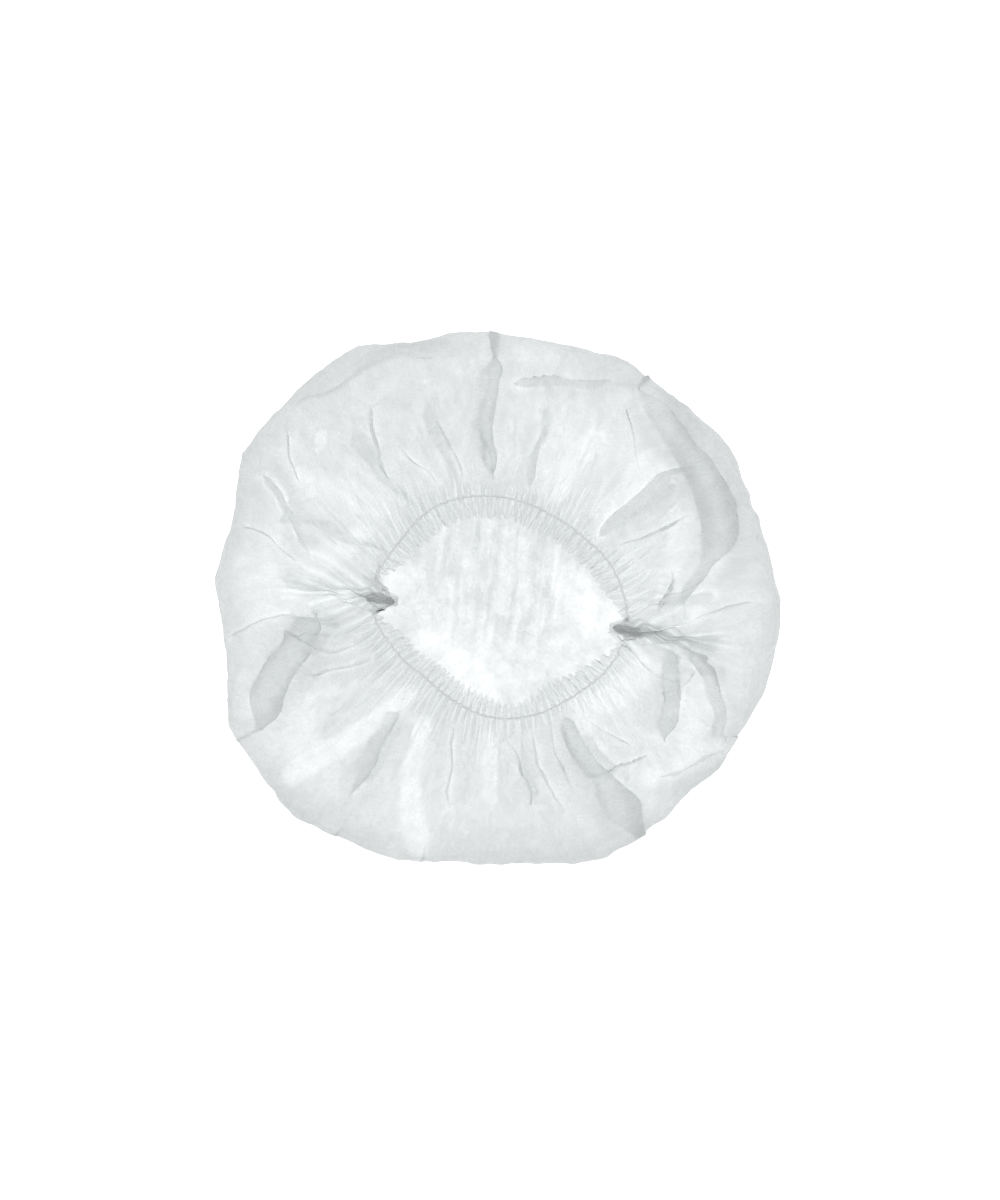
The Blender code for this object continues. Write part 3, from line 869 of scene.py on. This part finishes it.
def tube(name, line, radii, sides, section=None):
    """A tube along a line. section gives a radius factor by turn and share."""
    line = np.array(line, float)
    ahead = np.gradient(line, axis=0)
    ahead /= np.linalg.norm(ahead, axis=1, keepdims=True)
    side = np.cross(ahead, (0, 0, 1.0))
    side /= np.linalg.norm(side, axis=1, keepdims=True)
    up = np.cross(side, ahead)
    turn = 2 * np.pi * np.arange(sides) / sides
    points = []
    for i, p in enumerate(line):
        r = radii[i] * (section(turn, i / (len(line) - 1)) if section else 1.0)
        points.append(p + np.outer(np.cos(turn) * r, side[i]) + np.outer(np.sin(turn) * r, up[i]))
    rings = np.arange(len(line) * sides).reshape(-1, sides)
    turned = np.roll(rings, -1, axis=1)
    quads = np.stack([rings[:-1], turned[:-1], turned[1:], rings[1:]], axis=-1).reshape(-1, 4)
    caps = [rings[0, ::-1].tolist(), rings[-1].tolist()]
    return new_mesh(name, np.concatenate(points), quads.tolist() + caps)


def thread(name, points, over, first, last):
    """The elastic thread of one hem, lying in the gathers' line and showing on top of it."""
    ring = int(np.argmin(np.abs(over - THREAD_AT)))
    columns = np.nonzero(~IS_WELD[first:last])[0] + first
    line = points[ring, columns]
    reach, spread_out = THREAD_SOFTNESS
    kernel = np.exp(-((np.arange(-reach, reach + 1) / spread_out) ** 2))
    kernel /= kernel.sum()
    padded = np.pad(line[:, 2], reach, mode="edge")
    line[:, 2] = np.max([padded[i : i + len(line)] for i in range(2 * reach + 1)], axis=0)
    padded = np.pad(line, ((reach, reach), (0, 0)), mode="edge")
    soft = np.stack([np.convolve(padded[:, i], kernel, "valid") for i in range(3)], 1)[::2]
    soft[:, 2] += THREAD_RADIUS * THREAD_LIFT
    return tube(name, soft, np.full(len(soft), THREAD_RADIUS), 8)


def fused_section(turn, share):
    """A bunch of fused pleats: ribs all round that wander along it, wider than it is high."""
    ribs = 1 + 0.30 * np.sin(FUSED_RIBS * turn + 2.5 * np.sin(5 * share))
    ribs += 0.12 * np.sin((2 * FUSED_RIBS + 1) * turn + 9 * share)
    return ribs * (1 - 0.25 * np.abs(np.sin(turn)))


def fused_bunch(side):
    """The fused end of a weld's bunch, which sticks out into the mouth."""
    low, high = WELDS[side]
    way = 1 if side == "left" else -1
    tip = (high.x if side == "left" else low.x) + way * FUSED_TIP
    share = np.linspace(0, 1, 28)
    x = tip - way * FUSED_LENGTH * (1 - share)
    y = FUSED_BEND * np.sin(5 * share) * way
    z = (low.z + high.z) / 2 + 0.6 * MM + 0.8 * MM * np.sin(4 * share)
    swell = np.interp(share, (0, 0.25, 0.6, 0.88, 1), (0.5, 1.0, 0.95, 0.75, 0.3))
    swell = swell * (1 + 0.12 * np.sin(17 * share))
    return tube(f"{side}_weld_bunch", np.stack([x, y, z], 1), swell * FUSED_RADIUS, 72, fused_section)


def grid_normals(points):
    """Vertex normals of the whole sheet, which its two halves share where they meet."""
    along = np.roll(points, -1, 1) - np.roll(points, 1, 1)
    across = np.gradient(points, axis=0)
    normal = np.cross(along, across)
    return normal / np.maximum(np.linalg.norm(normal, axis=2, keepdims=True), 1e-12)


def flat_pattern(points):
    """Each point's place on the unfolded sheet, by its ring's distance from the crown's middle."""
    steps = np.linalg.norm(np.diff(points, axis=0), axis=2).mean(1)
    reach = np.concatenate([[0], np.cumsum(steps)]) + np.linalg.norm(points[0], axis=1).mean()
    return on_circle(RIM_ANGLE, reach[:, None]), reach


def fill(made, node, **values):
    """Sets a node's sockets and settings. A value can be another node's output."""
    for name, value in values.items():
        if name.startswith("set_"):
            setattr(node, name[4:], value)
            continue
        name = name.replace("_", " ")
        socket = node.inputs[int(name[1:])] if name[0] == "i" and name[1:].isdigit() else node.inputs[name]
        if isinstance(value, bpy.types.NodeSocket):
            made.node_tree.links.new(value, socket)
        else:
            socket.default_value = value


def add_node(made, kind, **values):
    node = made.node_tree.nodes.new(f"ShaderNode{kind}")
    fill(made, node, **values)
    return node


def principled(name, colour, roughness):
    made = bpy.data.materials.new(name)
    made.use_nodes = True
    shader = made.node_tree.nodes["Principled BSDF"]
    fill(made, shader, Base_Color=(*colour, 1), Roughness=roughness)
    return made, shader


def maths(made, operation, first, second=0.5, clamp=False):
    node = add_node(made, "Math", set_operation=operation, set_use_clamp=clamp, i0=first, i1=second)
    return node.outputs[0]


def mapped(made, value, start, end, kind="LINEAR"):
    """The value, mapped from one span to another."""
    return add_node(
        made, "MapRange", set_interpolation_type=kind, Value=value,
        From_Min=start[0], From_Max=start[1], To_Min=end[0], To_Max=end[1],
    ).outputs[0]


def translucent(made, shader, colour, normal, share):
    """The shader, with a share of its light let through."""
    through = add_node(made, "BsdfTranslucent", Color=colour, Normal=normal).outputs[0]
    return add_node(made, "MixShader", Fac=share, i1=shader.outputs[0], i2=through).outputs[0]


def show(made, surface):
    fill(made, made.node_tree.nodes["Material Output"], Surface=surface)


def grainy(made, shader, scale, detail, strength, distance):
    """Gives a shader a fine noise for its relief."""
    noise = add_node(made, "TexNoise", Scale=scale, Detail=detail).outputs["Fac"]
    bump = add_node(made, "Bump", Strength=strength, Distance=distance, Height=noise).outputs[0]
    fill(made, shader, Normal=bump)
    return bump


def fabric_patterns(made, flat):
    """Cloudy drifts, streaks, single fibres and bond points, as changes of the fabric's cover. The streaks
    lean towards more cover; where they are strong, near the crown's middle, they are painted shade of its
    soft creases.
    """
    clouds = add_node(made, "TexNoise", Vector=flat, Scale=95.0, Detail=4.0, Roughness=0.6)
    drawn = add_node(made, "Mapping", Vector=flat, Scale=(210.0, 18.0, 1.0)).outputs[0]
    streaks = add_node(made, "TexNoise", Vector=drawn, Scale=1.0, Detail=2.0)
    fibres = add_node(made, "TexNoise", Vector=flat, Scale=900.0, Detail=2.0, Distortion=1.5)
    turned = add_node(made, "VectorRotate", set_rotation_type="Z_AXIS", Vector=flat, Angle=0.785)
    bonds = add_node(made, "TexVoronoi", Vector=turned.outputs[0], Scale=1 / BOND_PITCH, Randomness=0.0)
    return (
        mapped(made, clouds.outputs["Fac"], (0.3, 0.7), COVER),
        mapped(made, streaks.outputs["Fac"], (0.35, 0.65), (-0.4, 0.6)),
        mapped(made, fibres.outputs["Fac"], (0.3, 0.7), (-FINE_COVER, FINE_COVER)),
        mapped(made, bonds.outputs["Distance"], BOND_RADIUS, (-BOND_OPENING, 0.0), "SMOOTHSTEP"),
    )


def fabric_tint_and_shade(made, flat, rim_reach, weight):
    """How far the fabric's colour goes towards its darker colour: a little everywhere, and as painted shade
    in the crown's middle, at the rim, and in creases and fold edges.
    """
    reach = add_node(made, "VectorMath", set_operation="LENGTH", i0=flat).outputs["Value"]
    # painted shade in the crown's middle, which lies in the cap's hollow
    middle = mapped(made, reach, MIDDLE_REACH, (MIDDLE_PAINTED_SHADE, 0.0), "SMOOTHSTEP")
    off_rim = maths(made, "ABSOLUTE", maths(made, "SUBTRACT", reach, rim_reach))
    # painted shade along the rim, which darkens the cap's outline
    rim = mapped(made, off_rim, RIM_REACH, (RIM_PAINTED_SHADE, 0.0), "SMOOTHSTEP")
    tint_and_shade_share = maths(made, "ADD", maths(made, "ADD", middle, rim), BASE_TINT)
    # painted shade of creases and fold edges, with how thick the cloth looks
    return maths(made, "ADD", tint_and_shade_share, maths(made, "MULTIPLY", weight, DENSITY_AND_SHADE_TINT), clamp=True)


def fabric_material(rim_reach):
    """Thin white spunbond, with pores between its fibres. rim_reach is the rim's place on the flat sheet."""
    made, shader = principled("nonwoven_fabric", FABRIC_COLOUR, 0.75)
    flat = add_node(made, "UVMap", set_uv_map="flat").outputs["UV"]
    weight = add_node(made, "Attribute", set_attribute_name="density_and_painted_shade").outputs["Fac"]
    cover, streaks, fine, dots = fabric_patterns(made, flat)
    tint_and_shade_share = fabric_tint_and_shade(made, flat, rim_reach, weight)
    # the fabric's colour, taken towards its painted shade colour by that share
    tint = add_node(
        made, "Mix", set_data_type="RGBA",
        i0=tint_and_shade_share, i6=(*FABRIC_COLOUR, 1), i7=(*PAINTED_SHADE_COLOUR, 1),
    ).outputs[2]
    back = add_node(made, "VectorMath", set_operation="DISTANCE", i0=flat, i1=STREAKS_AT)
    streaky = mapped(made, back.outputs["Value"], STREAKS_REACH, STREAKS_COVER, "SMOOTHSTEP")
    total = maths(made, "ADD", maths(made, "ADD", cover, dots), fine)
    # the painted shade and the thickness with its crease shade also raise the cover
    for value, share in ((streaks, streaky), (tint_and_shade_share, TINT_AND_SHADE_COVER), (weight, DENSITY_AND_SHADE_COVER)):
        total = maths(made, "ADD", total, maths(made, "MULTIPLY", value, share))
    relief = maths(made, "ADD", dots, fine)
    bump = add_node(made, "Bump", Strength=0.35, Distance=0.0003, Height=relief).outputs[0]
    fill(made, shader, Base_Color=tint, Normal=bump, Sheen_Weight=0.15)
    cloth = translucent(made, shader, tint, bump, FABRIC_THROUGH)
    pores = add_node(made, "BsdfTransparent").outputs[0]
    show(made, add_node(made, "MixShader", Fac=total, i1=pores, i2=cloth).outputs[0])
    return made


def fused_material():
    """Pleats melted together: denser, a little glossy, with a crumpled grain."""
    made, shader = principled("fused_fabric", FUSED_COLOUR, 0.5)
    bump = grainy(made, shader, scale=900.0, detail=3.0, strength=0.5, distance=0.0004)
    show(made, translucent(made, shader, (*FUSED_GLOW, 1), bump, FUSED_THROUGH))
    return made


def thread_material():
    """A thin covered elastic thread."""
    made, shader = principled("elastic_thread", THREAD_COLOUR, 0.6)
    grainy(made, shader, scale=1500.0, detail=2.0, strength=0.4, distance=0.0002)
    return made


def add_camera():
    data = bpy.data.cameras.new("camera")
    data.sensor_fit = "VERTICAL"
    data.sensor_height = SENSOR_HEIGHT
    data.lens = data.sensor_height * CAMERA_DISTANCE / VIEW_HEIGHT
    obj = add_object("camera", data)
    obj.location = (*VIEW_AIM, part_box("crown")[1].z + CAMERA_DISTANCE)
    obj.rotation_euler = (0, 0, math.radians(VIEW_ROLL))
    bpy.context.scene.camera = obj


def add_studio():
    world = bpy.data.worlds.new("studio")
    bpy.context.scene.world = world
    world.use_nodes = True
    fill(world, world.node_tree.nodes["Background"], Color=(1, 1, 1, 1), Strength=WORLD_STRENGTH)
    lamp = bpy.data.lights.new("soft_box", "AREA")
    lamp.size = LAMP_SIZE
    lamp.energy = LAMP_POWER
    obj = add_object("soft_box", lamp)
    obj.location = LAMP_AT
    obj.rotation_euler = obj.location.to_track_quat("Z", "Y").to_euler()
    mesh = bpy.data.meshes.new("floor")
    corners = ((-1, -1), (1, -1), (1, 1), (-1, 1))
    mesh.from_pydata([(x * FLOOR_HALF, y * FLOOR_HALF, 0) for x, y in corners], [], [(0, 1, 2, 3)])
    finish, shader = principled("floor", FLOOR_COLOUR, 0.9)
    fill(finish, shader, Emission_Color=(1, 1, 1, 1), Emission_Strength=FLOOR_GLOW)
    mesh.materials.append(finish)
    floor = add_object("floor", mesh)
    bpy.context.scene.view_settings.view_transform = "Standard"


def main():
    add_camera()
    add_studio()
    smooth, over = course()
    points, folded = lay_folds(smooth, over)
    points = crumpled(points)
    points = relax(smooth, points, over, folded)
    normals = grid_normals(points)
    uv, reach = flat_pattern(smooth)
    dense = density_and_shade(points, over, folded)
    fabric = fabric_material(reach[CROWN_RINGS + SIDE_RINGS - 1])
    elastic, fused = thread_material(), fused_material()
    half = COLUMNS // 2
    for name, first, last, way in (("back", 0, half, 1), ("front", half, COLUMNS, -1)):
        sheet = sheet_mesh(f"{name}_sheet", points, uv, dense, first, last, normals)
        sheet.data.materials.append(fabric)
        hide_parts(f"{name}_gathers", f"{name}_hem", "crown")
        line = thread(f"{name}_thread", points, over, first, last)
        line.data.materials.append(elastic)
        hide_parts(f"{name}_elastic")
        for piece in (sheet, line):
            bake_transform(piece)
    for side in WELDS:
        bunch = fused_bunch(side)
        bunch.data.materials.append(fused)
        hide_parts(f"{side}_end_weld")
        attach(bunch, "crown")


main()
